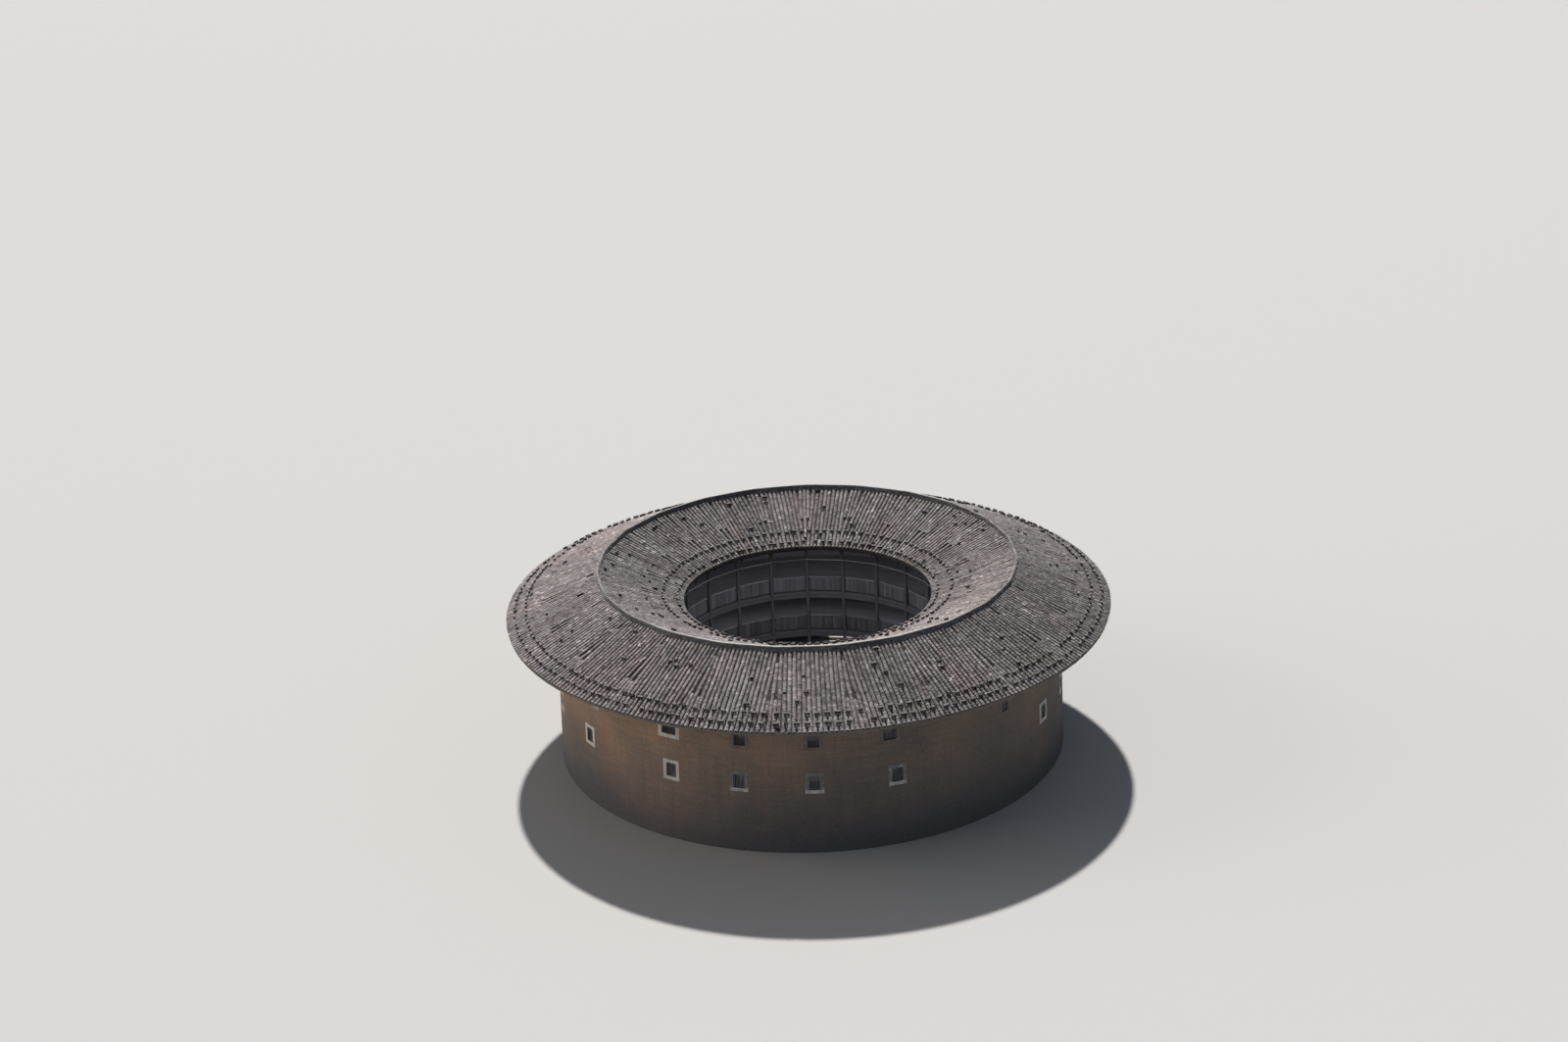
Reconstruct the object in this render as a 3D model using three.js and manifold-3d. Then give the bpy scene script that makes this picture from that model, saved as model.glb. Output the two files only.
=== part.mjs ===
// Round earth house: three storeys of timber galleries round an open court,
// inside one thick earth wall and under one ring shaped tiled roof.
import * as THREE from 'three';
import { mergeVertices } from 'three/addons/utils/BufferGeometryUtils.js';
import Module from 'manifold-3d';

const wasm = await Module();
wasm.setup();

// Driving dimensions in millimetres, angles in degrees from +X
const seatGap = 0.3;
const bayCount = 23;
const bayAngle = 360 / bayCount;
const firstPostAngle = 90;
const gateAngle = 270;
const facetsPerBay = 4;
const facetCount = bayCount * facetsPerBay;

const ridgeRadius = 13000;
const ridgeSeamHeight = 11650;
const ridgeTopHeight = 12000;
const ridgeFootHalfWidth = 290;
const ridgeTopHalfWidth = 190;
const outerEaveRadius = 18770;
const outerEaveHeight = 9180;
const innerEaveRadius = 7870;
const innerEaveHeight = 9630;
const roofThickness = 160;

const secondFloorHeight = 3350;
const thirdFloorHeight = 6100;
const floorThickness = 180;

const wallFootRadius = 15920;
const wallHeadRadius = 15720;
const wallInsideGround = 14600;
const wallInsideSecond = 14750;
const wallInsideThird = 14900;

const postCircleRadius = 8700;
const postRadius = 110;
const postSides = 12;
const beamInside = 8630;
const beamOutside = 8800;
const beamHeight = 220;
const plateHeight = 9400;
const spliceAngle = 0.85;

const railInside = 8830;
const railOutside = 8870;
const railHeight = 1050;
const railCapInside = 8815;
const railCapOutside = 8905;
const railCapHeight = 70;

const gateClearWidth = 1900;
const gateClearHeight = 2750;
const gateSillHeight = 150;
const gateJambWidth = 280;
const gateLintelHeight = 300;
const gateFrameOutside = 15990;
const gateFrameInside = 14540;

// Windows as width, height and sill height above the ground
const secondWindow = { width: 680, height: 870, sill: 4050 };
const thirdWindow = { width: 680, height: 880, sill: 6800 };
const ventWindow = { width: 480, height: 620, sill: 6300 };

// Window directions, with the widths of the third storey ones that differ
const seenSecondWindows = [39.43, 65.73, 81.63, 97.83, 115.73];
const seenThirdWindows = [[41.3, 800], [65.43, 1000], [82.03, 680], [97.83, 680], [114.23, 800]];
const ventDirection = 144.43;
const farWindowBays = [0, 2, 3, 5, 6, 15, 16, 18, 19, 21];

// Angles and slopes

function radians(degrees) {
  return degrees * Math.PI / 180;
}

function postAngle(index) {
  return firstPostAngle + index * bayAngle;
}

function outerSlopeHeight(radius) {
  const run = outerEaveRadius - ridgeRadius;
  const fall = ridgeSeamHeight - outerEaveHeight;
  return ridgeSeamHeight - fall * (radius - ridgeRadius) / run;
}

function innerSlopeHeight(radius) {
  const run = ridgeRadius - innerEaveRadius;
  const fall = ridgeSeamHeight - innerEaveHeight;
  return ridgeSeamHeight - fall * (ridgeRadius - radius) / run;
}

// Solids

function solid(geometry) {
  const bare = geometry.clone();
  bare.deleteAttribute('normal');
  bare.deleteAttribute('uv');
  const merged = mergeVertices(bare, 1e-4);
  return new wasm.Manifold(new wasm.Mesh({
    numProp: 3,
    vertProperties: new Float32Array(merged.attributes.position.array),
    triVerts: new Uint32Array(merged.index.array),
  }));
}

function turned(profile, sides, cornerAngle) {
  const points = profile.map(([radius, height]) => new THREE.Vector2(radius, height));
  points.push(points[0].clone());
  const geometry = new THREE.LatheGeometry(points, sides, radians(cornerAngle + 90), Math.PI * 2);
  geometry.rotateX(Math.PI / 2);
  return solid(geometry);
}

function roundRing(profile) {
  return turned(profile, facetCount, firstPostAngle + 180 / facetCount);
}

function bayRing(profile) {
  return turned(profile, bayCount, firstPostAngle);
}

function raised(corners, bottom, top) {
  const outline = new THREE.Shape(corners.map(([x, y]) => new THREE.Vector2(x, y)));
  const geometry = new THREE.ExtrudeGeometry(outline, { depth: top - bottom, bevelEnabled: false });
  geometry.translate(0, 0, bottom);
  return solid(geometry);
}

function wedge(from, to) {
  const reach = 40000;
  const steps = Math.ceil((to - from) / 45);
  const corners = [[0, 0]];
  for (let step = 0; step <= steps; step += 1) {
    const angle = radians(from + (to - from) * step / steps);
    corners.push([reach * Math.cos(angle), reach * Math.sin(angle)]);
  }
  return raised(corners, -1000, 14000);
}

function jointAngle(radius) {
  return seatGap / 2 / radius * 180 / Math.PI;
}

function sector(ring, from, to, radius) {
  const gap = jointAngle(radius);
  return ring.intersect(wedge(from + gap, to - gap));
}

function radialBlock(width, inside, outside, bottom, top, angle) {
  const geometry = new THREE.BoxGeometry(outside - inside, width, top - bottom);
  geometry.translate((inside + outside) / 2, 0, (bottom + top) / 2);
  geometry.rotateZ(radians(angle));
  return solid(geometry);
}

function upright(radius, sides, bottom, top, circleRadius, angle) {
  const geometry = new THREE.CylinderGeometry(radius, radius, top - bottom, sides);
  geometry.rotateX(Math.PI / 2);
  geometry.translate(circleRadius, 0, (bottom + top) / 2);
  geometry.rotateZ(radians(angle));
  return solid(geometry);
}

// The finished group and the meshes in it

const house = new THREE.Group();
house.name = 'round_earth_house';

const looks = {
  earth: { color: 0x8a6a4c, roughness: 0.95 },
  stone: { color: 0x8a8780, roughness: 0.85 },
  timber: { color: 0x5a4a3c, roughness: 0.8 },
  boards: { color: 0x6b5a4a, roughness: 0.8 },
  tiles: { color: 0x6f6a68, roughness: 0.85 },
  mortar: { color: 0x55534f, roughness: 0.9 },
};

function place(name, body, look) {
  const data = body.getMesh();
  const geometry = new THREE.BufferGeometry();
  const positions = new Float32Array(data.vertProperties);
  geometry.setAttribute('position', new THREE.BufferAttribute(positions, 3));
  geometry.setIndex(new THREE.BufferAttribute(new Uint32Array(data.triVerts), 1));
  geometry.computeVertexNormals();
  const material = new THREE.MeshStandardMaterial({ ...looks[look], metalness: 0 });
  const mesh = new THREE.Mesh(geometry, material);
  mesh.name = name;
  house.add(mesh);
}

// Earth wall, thinner by a step at each floor, with its head cut to the roof slope

function wallRing() {
  const head = (radius) => outerSlopeHeight(radius) - roofThickness - seatGap;
  const secondLedge = secondFloorHeight - floorThickness;
  const thirdLedge = thirdFloorHeight - floorThickness;
  return roundRing([
    [wallInsideGround, 0],
    [wallFootRadius, 0],
    [wallHeadRadius, head(wallHeadRadius)],
    [wallInsideThird, head(wallInsideThird)],
    [wallInsideThird, thirdLedge],
    [wallInsideSecond, thirdLedge],
    [wallInsideSecond, secondLedge],
    [wallInsideGround, secondLedge],
  ]);
}

function windowHole(window, angle) {
  return radialBlock(window.width, 14000, 16500, window.sill, window.sill + window.height, angle);
}

function wallWithWindows() {
  let wall = wallRing();
  const cut = (window, angle) => {
    wall = wall.subtract(windowHole(window, angle));
  };
  seenSecondWindows.forEach((angle) => cut(secondWindow, angle));
  seenThirdWindows.forEach(([angle, width]) => cut({ ...thirdWindow, width }, angle));
  cut(ventWindow, ventDirection);
  farWindowBays.forEach((bay) => {
    const angle = gateAngle + (bay + 1) * bayAngle;
    cut(secondWindow, angle);
    cut(thirdWindow, angle);
  });
  return wall;
}

function addWalls() {
  const wall = wallWithWindows();
  for (let pair = 0; pair < 11; pair += 1) {
    const from = gateAngle + bayAngle / 2 + pair * 2 * bayAngle;
    const name = `wall_${String(pair + 1).padStart(2, '0')}`;
    place(name, sector(wall, from, from + 2 * bayAngle, wallInsideSecond), 'earth');
  }
  return wall;
}

// Gate bay: wall on both sides and above, and the stone frame of the doorway

function addGate(wall) {
  const halfBay = bayAngle / 2;
  const bay = sector(wall, gateAngle - halfBay, gateAngle + halfBay, wallInsideSecond);
  const halfFrame = gateClearWidth / 2 + gateJambWidth;
  const frameTop = gateClearHeight + gateLintelHeight;
  const side = 3000;
  const across = halfFrame + seatGap + side / 2;
  const sideBlock = (x) => {
    const geometry = new THREE.BoxGeometry(side, 4000, 14000);
    geometry.translate(x, -15000, 6000);
    return solid(geometry);
  };
  place('wall_gate_left', bay.intersect(sideBlock(-across)), 'earth');
  place('wall_gate_right', bay.intersect(sideBlock(across)), 'earth');
  const above = radialBlock(2 * halfFrame, 13000, 17000, frameTop + seatGap, 13000, gateAngle);
  place('wall_over_gate', bay.intersect(above), 'earth');

  const frame = radialBlock(2 * halfFrame, gateFrameInside, gateFrameOutside, 0, frameTop, gateAngle);
  const doorway = radialBlock(
    gateClearWidth, 13000, 17000, gateSillHeight, gateClearHeight, gateAngle);
  place('gate_stone_frame', frame.subtract(doorway), 'stone');
}

// Floors of the second and third storeys, notched round the gallery posts

function floorRing(level, outside) {
  const bottom = level - floorThickness;
  const edge = postCircleRadius;
  const disc = roundRing([
    [edge - 700, bottom],
    [outside - seatGap, bottom],
    [outside - seatGap, level],
    [edge - 700, level],
  ]);
  const court = bayRing([
    [2000, bottom - 500],
    [edge, bottom - 500],
    [edge, level + 500],
    [2000, level + 500],
  ]);
  let floor = disc.subtract(court);
  for (let post = 0; post < bayCount; post += 1) {
    floor = floor.subtract(upright(
      postRadius + 4 * seatGap, postSides, bottom - 500, level + 500,
      postCircleRadius, postAngle(post)));
  }
  return floor;
}

function addFloor(name, level, outside) {
  const floor = floorRing(level, outside);
  const baysEach = 6;
  for (let first = 0; first < bayCount; first += baysEach) {
    const from = postAngle(first + 0.5);
    const to = postAngle(Math.min(first + baysEach, bayCount) + 0.5);
    place(`${name}_${first / baysEach + 1}`, sector(floor, from, to, beamOutside), 'boards');
  }
}

// Gallery frame: posts from the ground to the roof, with a beam ring under each
// floor edge and a plate ring under the roof

function beamRing(top, height) {
  return bayRing([
    [beamInside, top - height],
    [beamOutside, top - height],
    [beamOutside, top],
    [beamInside, top],
  ]);
}

function roofRoom() {
  const under = (radius) => innerSlopeHeight(radius) - roofThickness - seatGap;
  const near = innerEaveRadius - 300;
  const far = beamOutside + 1500;
  return roundRing([
    [near, under(near)],
    [far, under(far)],
    [far, 13000],
    [near, 13000],
  ]);
}

function galleryFrame() {
  const underFloor = floorThickness + seatGap;
  let frame = beamRing(secondFloorHeight - underFloor, beamHeight);
  frame = frame.add(beamRing(thirdFloorHeight - underFloor, beamHeight));
  frame = frame.add(beamRing(plateHeight + 800, 800));
  for (let post = 0; post < bayCount; post += 1) {
    frame = frame.add(upright(
      postRadius, postSides, 0, plateHeight + 800, postCircleRadius, postAngle(post)));
  }
  return frame.subtract(roofRoom());
}

function addGalleryFrame() {
  const frame = galleryFrame();
  const baysEach = 2;
  for (let first = 0; first < bayCount; first += baysEach) {
    const from = postAngle(first) + spliceAngle;
    const to = postAngle(Math.min(first + baysEach, bayCount)) + spliceAngle;
    const name = `gallery_frame_${String(first / baysEach + 1).padStart(2, '0')}`;
    place(name, sector(frame, from, to, beamInside), 'timber');
  }
}

// Boarded railings with a flat cap, standing on the floor just behind the posts

function railRing(level) {
  const foot = level + seatGap;
  const top = level + railHeight;
  return bayRing([
    [railInside, foot],
    [railOutside, foot],
    [railOutside, top - railCapHeight],
    [railCapOutside, top - railCapHeight],
    [railCapOutside, top],
    [railCapInside, top],
    [railCapInside, top - railCapHeight],
    [railInside, top - railCapHeight],
  ]);
}

function addRailing(name, level) {
  const rail = railRing(level);
  const split = 12;
  place(`${name}_1`, sector(rail, postAngle(0), postAngle(split), railInside), 'boards');
  place(`${name}_2`, sector(rail, postAngle(split), postAngle(bayCount), railInside), 'boards');
}

// Roof slopes, each a quarter of the ring, meeting under the ridge

function addRoof() {
  const outer = roundRing([
    [ridgeRadius + seatGap / 2, outerSlopeHeight(ridgeRadius) - roofThickness],
    [outerEaveRadius, outerEaveHeight - roofThickness],
    [outerEaveRadius, outerEaveHeight],
    [ridgeRadius + seatGap / 2, outerSlopeHeight(ridgeRadius)],
  ]);
  const inner = roundRing([
    [innerEaveRadius, innerEaveHeight - roofThickness],
    [ridgeRadius - seatGap / 2, innerSlopeHeight(ridgeRadius) - roofThickness],
    [ridgeRadius - seatGap / 2, innerSlopeHeight(ridgeRadius)],
    [innerEaveRadius, innerEaveHeight],
  ]);
  for (let quarter = 0; quarter < 4; quarter += 1) {
    const from = quarter * 90;
    place(`roof_outer_${quarter + 1}`, sector(outer, from, from + 90, ridgeRadius), 'tiles');
    place(`roof_inner_${quarter + 1}`, sector(inner, from, from + 90, innerEaveRadius), 'tiles');
  }
}

// Ridge: a low bank of bedded tiles with sloping sides

function addRidge() {
  const shoulder = ridgeTopHeight - 60;
  const ridge = roundRing([
    [ridgeRadius - ridgeFootHalfWidth, innerSlopeHeight(ridgeRadius - ridgeFootHalfWidth) + seatGap],
    [ridgeRadius, ridgeSeamHeight + seatGap],
    [ridgeRadius + ridgeFootHalfWidth, outerSlopeHeight(ridgeRadius + ridgeFootHalfWidth) + seatGap],
    [ridgeRadius + ridgeTopHalfWidth, shoulder],
    [ridgeRadius + ridgeTopHalfWidth - 80, ridgeTopHeight],
    [ridgeRadius - ridgeTopHalfWidth + 80, ridgeTopHeight],
    [ridgeRadius - ridgeTopHalfWidth, shoulder],
  ]);
  place('ridge_1', sector(ridge, 0, 180, ridgeRadius), 'mortar');
  place('ridge_2', sector(ridge, 180, 360, ridgeRadius), 'mortar');
}

const wall = addWalls();
addGate(wall);
addFloor('floor_second', secondFloorHeight, wallInsideSecond);
addFloor('floor_third', thirdFloorHeight, wallInsideThird);
addGalleryFrame();
addRailing('railing_second', secondFloorHeight);
addRailing('railing_third', thirdFloorHeight);
addRoof();
addRidge();

export default house;
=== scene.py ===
import math

import bpy
import numpy as np
from mathutils import Matrix, Vector


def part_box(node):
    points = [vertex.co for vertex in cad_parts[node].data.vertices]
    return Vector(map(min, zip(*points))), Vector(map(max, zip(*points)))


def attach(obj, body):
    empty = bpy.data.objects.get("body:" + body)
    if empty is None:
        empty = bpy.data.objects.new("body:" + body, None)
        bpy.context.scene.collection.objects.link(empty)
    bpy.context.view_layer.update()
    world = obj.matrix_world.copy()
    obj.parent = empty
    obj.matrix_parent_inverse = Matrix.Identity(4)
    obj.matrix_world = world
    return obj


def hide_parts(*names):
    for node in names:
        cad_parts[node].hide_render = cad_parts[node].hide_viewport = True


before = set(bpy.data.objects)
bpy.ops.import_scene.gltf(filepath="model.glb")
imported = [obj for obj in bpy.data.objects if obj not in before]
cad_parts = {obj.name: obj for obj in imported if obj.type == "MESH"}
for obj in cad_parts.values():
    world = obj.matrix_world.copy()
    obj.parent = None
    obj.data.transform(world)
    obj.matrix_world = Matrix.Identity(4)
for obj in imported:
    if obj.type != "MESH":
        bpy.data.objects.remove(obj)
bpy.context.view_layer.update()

# Viewpoint high behind the house, looking down over the ridge into the court. The gate is on
# the far side. The picture leans a little, so the ridge ring looks tilted.
view_bearing = math.radians(97.83)
view_distance = 166.0
view_height = 81.1
look_down = math.radians(21.82)
look_aside = math.radians(0.449)
picture_lean = math.radians(2.28)
picture_width_px = 1600
focal_px = 2946
film_width = 36

heading = view_bearing + math.pi + look_aside
forward = Vector((math.cos(heading) * math.cos(look_down),
                  math.sin(heading) * math.cos(look_down),
                  -math.sin(look_down)))
level_right = Vector((math.sin(heading), -math.cos(heading), 0))
level_top = level_right.cross(forward)
camera_right = level_right * math.cos(picture_lean) - level_top * math.sin(picture_lean)
camera_top = level_right * math.sin(picture_lean) + level_top * math.cos(picture_lean)
camera_turn = Matrix((camera_right, camera_top, -forward)).transposed()
camera_place = (view_distance * math.cos(view_bearing),
                view_distance * math.sin(view_bearing),
                view_height)
bpy.ops.object.select_all(action="DESELECT")
bpy.ops.object.camera_add(location=camera_place, rotation=camera_turn.to_euler())
camera = bpy.context.object
camera.data.sensor_width = film_width
camera.data.lens = film_width * focal_px / picture_width_px
camera.data.clip_end = 2000
bpy.context.scene.camera = camera

# Plain pale studio floor and soft light. The main light stands high behind the house, so
# the wall that faces the camera is in open shade, and a weak warm one fills in from the left.
# A broad cool light over the court stands for the open sky there.
floor_width = 1600
floor_drop = 0.02
court_light_height = 9.3
court_light_width = 13.6
bpy.ops.mesh.primitive_plane_add(size=floor_width, location=(0, 0, -floor_drop))
floor = bpy.context.object
floor.name = "studio_floor"


def node(tree, kind, sockets=None, **settings):
    """Adds a shader node, sets its settings, and feeds its sockets with values or links."""
    made = tree.nodes.new(kind)
    for key, setting in settings.items():
        setattr(made, key, setting)
    for socket, source in (sockets or {}).items():
        if isinstance(source, bpy.types.NodeSocket):
            tree.links.new(source, made.inputs[socket])
        else:
            made.inputs[socket].default_value = source
    return made


def empty_material(name):
    """A material without nodes, and the node tree to build it in."""
    material = bpy.data.materials.new(name)
    material.use_nodes = True
    material.node_tree.nodes.clear()
    return material, material.node_tree


def finish_material(tree, colour, roughness=0.9, normal=None, gloss=0.25):
    """Ends a node tree in one principled shader."""
    shader = node(tree, "ShaderNodeBsdfPrincipled",
                  {"Base Color": colour, "Roughness": roughness, "Specular IOR Level": gloss})
    if normal is not None:
        tree.links.new(normal, shader.inputs["Normal"])
    output = node(tree, "ShaderNodeOutputMaterial")
    tree.links.new(shader.outputs["BSDF"], output.inputs["Surface"])


floor_paint, tree = empty_material("pale_floor")
finish_material(tree, (0.36, 0.36, 0.36, 1))
floor.data.materials.append(floor_paint)

world = bpy.data.worlds.new("soft_sky")
world.use_nodes = True
world.node_tree.nodes["Background"].inputs["Color"].default_value = (0.76, 0.86, 1.0, 1)
world.node_tree.nodes["Background"].inputs["Strength"].default_value = 0.28
bpy.context.scene.world = world


def add_sun(name, bearing, height, strength, spread_angle, colour):
    """A far light that shines from a bearing and a height above the horizon, in degrees."""
    bpy.ops.object.light_add(
        type="SUN", rotation=(math.radians(90 - height), 0, math.radians(bearing + 90)))
    light = bpy.context.object
    light.name = name
    light.data.energy = strength
    light.data.angle = math.radians(spread_angle)
    light.data.color = colour


add_sun("main_light", -77, 52, 6.3, 2, (1.0, 0.96, 0.91))
add_sun("left_fill", 2, 15, 1.48, 50, (1.0, 0.84, 0.68))
bpy.ops.object.light_add(type="AREA", location=(0, 0, court_light_height))
court_light = bpy.context.object
court_light.name = "court_fill"
court_light.data.shape = "DISK"
court_light.data.size = court_light_width
court_light.data.energy = 1500
court_light.data.color = (0.82, 0.84, 1.0)
bpy.context.scene.view_settings.view_transform = "Standard"

# Ring wall of rammed earth, raised in lifts between shutter boards. Rain has streaked it
# below the eaves. The side toward bearing 150 is greyed with painted shade from the
# neighbouring houses and trees, and toward the foot the wall turns a darker bluish grey,
# partly damp and partly painted shade. Soot greys the inside, and its bluish cast is a
# painted cool tint standing in for the court's shade.
wall_foot_radius = 15.92
wall_head_radius = 15.72
wall_head_height = 10.33
lift_height = 0.42
inner_face_edge = wall_head_radius - 0.3
painted_shade_side = 150
painted_shade_reach = 16


def wall_face(height):
    """Distance of the wall's outer face from the centre at a height."""
    return wall_foot_radius - (wall_foot_radius - wall_head_radius) * height / wall_head_height


def math_node(tree, operation, first, second=0.0):
    """The result of one sum on two values."""
    return node(tree, "ShaderNodeMath", {0: first, 1: second}, operation=operation).outputs[0]


def weighted(tree, *parts):
    """The sum of values, each multiplied by a weight of its own."""
    total = math_node(tree, "MULTIPLY", *parts[0])
    for source, weight in parts[1:]:
        total = math_node(tree, "ADD", total, math_node(tree, "MULTIPLY", source, weight))
    return total


def noise(tree, place, scale=1.0, detail=4.0, rough=0.55):
    """A noise value from 0 to 1 at the given place."""
    return node(tree, "ShaderNodeTexNoise", {
        "Vector": place, "Scale": scale, "Detail": detail, "Roughness": rough}).outputs["Fac"]


def stretched(tree, place, scale):
    """The place drawn out by a scale along each axis."""
    return node(tree, "ShaderNodeMapping", {"Vector": place, "Scale": scale}).outputs[0]


def remap(tree, source, low, high, to_low=0.0, to_high=1.0):
    """Carries a value from one range to another and holds it there."""
    return node(tree, "ShaderNodeMapRange", {
        "Value": source, "From Min": low, "From Max": high,
        "To Min": to_low, "To Max": to_high}).outputs["Result"]


def ramp(tree, source, stops):
    """Colours along a value, from a list of position and colour."""
    made = node(tree, "ShaderNodeValToRGB", {"Fac": source})
    while len(made.color_ramp.elements) < len(stops):
        made.color_ramp.elements.new(1.0)
    for element, (position, colour) in zip(made.color_ramp.elements, stops):
        element.position = position
        element.color = (*colour, 1)
    return made.outputs["Color"]


def mix(tree, share, first, second, blend="MIX"):
    """Two colours mixed by a share."""
    return node(tree, "ShaderNodeMix", {0: share, 6: first, 7: second},
                data_type="RGBA", blend_type=blend).outputs[2]


def coat(tree, colour, mask, low, high, share, coat_colour):
    """Lays one colour over another, up to a share, as a mask goes from low to high."""
    return mix(tree, remap(tree, mask, low, high, 0.0, share), colour, (*coat_colour, 1))


def shaded(tree, colour, tone, darkest, lightest):
    """A colour made darker or lighter by a tone between -0.5 and 0.5."""
    shade = remap(tree, tone, -0.5, 0.5, darkest, lightest)
    tint = node(tree, "ShaderNodeCombineColor", {0: shade, 1: shade, 2: shade}).outputs[0]
    return mix(tree, 1.0, colour, tint, "MULTIPLY")


def bump(tree, height, strength, distance):
    """A normal from a height."""
    return node(tree, "ShaderNodeBump", {
        "Height": height, "Strength": strength, "Distance": distance}).outputs["Normal"]


def copy_tone(tree):
    """The tone that each copy of a repeated piece carries."""
    return node(tree, "ShaderNodeAttribute", attribute_name="tone").outputs["Fac"]


def house_place(tree):
    """Where a point is on the house, counted from the middle of the court."""
    return node(tree, "ShaderNodeTexCoord").outputs["Object"]


def new_group(name, inputs, outputs):
    """An empty node group, with its inputs and outputs as sockets."""
    group = bpy.data.node_groups.new(name, "ShaderNodeTree")
    for label, default in inputs.items():
        socket = group.interface.new_socket(label, in_out="INPUT", socket_type="NodeSocketFloat")
        socket.default_value = default
    for label in outputs:
        group.interface.new_socket(label, in_out="OUTPUT", socket_type="NodeSocketFloat")
    return group, node(group, "NodeGroupInput").outputs, node(group, "NodeGroupOutput").inputs


polar, _, ends = new_group("ring_place", {}, ("Arc", "Reach", "Height", "Bays"))
axes = node(polar, "ShaderNodeSeparateXYZ", {0: house_place(polar)}).outputs
bearing = math_node(polar, "ARCTAN2", axes["Y"], axes["X"])
flat_square = weighted(polar, (axes["X"], axes["X"]), (axes["Y"], axes["Y"]))
bay_count = 23
bay_turn = 2 * math.pi / bay_count
polar.links.new(math_node(polar, "MULTIPLY", bearing, wall_foot_radius), ends["Arc"])
polar.links.new(math_node(polar, "SQRT", flat_square), ends["Reach"])
polar.links.new(axes["Z"], ends["Height"])
bays = math_node(polar, "DIVIDE", math_node(polar, "SUBTRACT", bearing, math.pi / 2), bay_turn)
polar.links.new(math_node(polar, "ADD", bays, float(bay_count)), ends["Bays"])


def ring_place(tree):
    """Place on the ring: arc length at the wall, distance from the centre, height and bay."""
    return node(tree, "ShaderNodeGroup", node_tree=polar).outputs


def toward(tree, side, reach):
    """How far a place lies to a side, in degrees: 1 at this reach, and -1 on the far side."""
    side_line = (math.cos(math.radians(side)) / reach, math.sin(math.radians(side)) / reach, 0)
    return node(tree, "ShaderNodeVectorMath", {0: house_place(tree), 1: side_line},
                operation="DOT_PRODUCT").outputs["Value"]


weather, settings, ends = new_group(
    "ring_weathering", {"Patch Scale": 0.35, "Streak Width": 0.5}, ("Patches", "Streaks", "Grit"))
here = house_place(weather)
ring = ring_place(weather)
down_the_wall = node(weather, "ShaderNodeCombineXYZ", {
    "X": math_node(weather, "DIVIDE", ring["Arc"], settings["Streak Width"]),
    "Y": math_node(weather, "MULTIPLY", ring["Height"], 0.16)}).outputs[0]
weather.links.new(noise(weather, here, settings["Patch Scale"], 5.0), ends["Patches"])
weather.links.new(noise(weather, down_the_wall, 1.0, 5.0, 0.65), ends["Streaks"])
weather.links.new(noise(weather, here, 9.0, 6.0, 0.7), ends["Grit"])


def weathering(tree, patch_scale, streak_width):
    """Patches, rain streaks and grit for a material."""
    return node(tree, "ShaderNodeGroup", {
        "Patch Scale": patch_scale, "Streak Width": streak_width}, node_tree=weather).outputs


def set_finish(prefix, material):
    """Gives the CAD nodes whose names start so their finished material."""
    for name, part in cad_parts.items():
        if name.startswith(prefix):
            part.data.materials.clear()
            part.data.materials.append(material)


earth, tree = empty_material("rammed_earth")
broad = weathering(tree, 0.22, 0.8)
close = weathering(tree, 1.6, 0.13)
ring = ring_place(tree)
here = house_place(tree)
layers = noise(tree, stretched(tree, here, (0.45, 0.45, 7.0)), 1.0, 6.0, 0.6)
uneven = math_node(tree, "SUBTRACT", close["Patches"], 0.5)
lifts = weighted(tree, (ring["Height"], 1 / lift_height), (uneven, 0.35))
seam = math_node(tree, "MULTIPLY",
                 remap(tree, math_node(tree, "FRACT", lifts), 0.0, 0.09, 1.0, 0.0),
                 remap(tree, broad["Grit"], 0.45, 0.60))
colour = ramp(tree, broad["Patches"], [
    (0.32, (0.158, 0.126, 0.103)), (0.50, (0.226, 0.165, 0.124)), (0.68, (0.300, 0.190, 0.134))])
colour = coat(tree, colour, layers, 0.40, 0.66, 0.5, (0.32, 0.225, 0.160))
colour = coat(tree, colour, close["Streaks"], 0.52, 0.72, 0.45, (0.105, 0.080, 0.062))
colour = coat(tree, colour, broad["Streaks"], 0.55, 0.75, 0.55, (0.120, 0.098, 0.082))
red_streaks = noise(tree, stretched(tree, here, (0.5, 0.5, 0.04)), 1.0, 3.0)
colour = coat(tree, colour, red_streaks, 0.60, 0.72, 0.45, (0.33, 0.13, 0.08))
# Painted shade: the side toward bearing 150 is greyed, standing in for the shade of neighbouring
# houses and trees.
side_shade_mask = toward(tree, painted_shade_side, painted_shade_reach)
colour = coat(tree, colour, side_shade_mask, 0.0, 0.95, 0.5, (0.136, 0.124, 0.114))
# Darker, bluish grey toward the foot: partly damp, partly painted shade.
foot_shade_and_damp = weighted(tree, (ring["Height"], 1.0), (broad["Patches"], 4.0))
colour = coat(tree, colour, foot_shade_and_damp, 8.4, 2.8, 0.88, (0.092, 0.096, 0.104))
colour = coat(tree, colour, seam, 0.0, 1.0, 0.60, (0.07, 0.055, 0.045))
crack_line = node(tree, "ShaderNodeTexVoronoi", {
    "Vector": stretched(tree, here, (0.7, 0.7, 0.24)), "Scale": 0.9},
    feature="DISTANCE_TO_EDGE").outputs["Distance"]
crack = math_node(tree, "MULTIPLY", remap(tree, crack_line, 0.0, 0.010, 1.0, 0.0),
                  remap(tree, close["Patches"], 0.57, 0.64))
colour = coat(tree, colour, crack, 0.0, 1.0, 0.6, (0.05, 0.04, 0.033))
colour = shaded(tree, colour, math_node(tree, "SUBTRACT", close["Grit"], 0.5), 0.5, 1.5)
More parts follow.
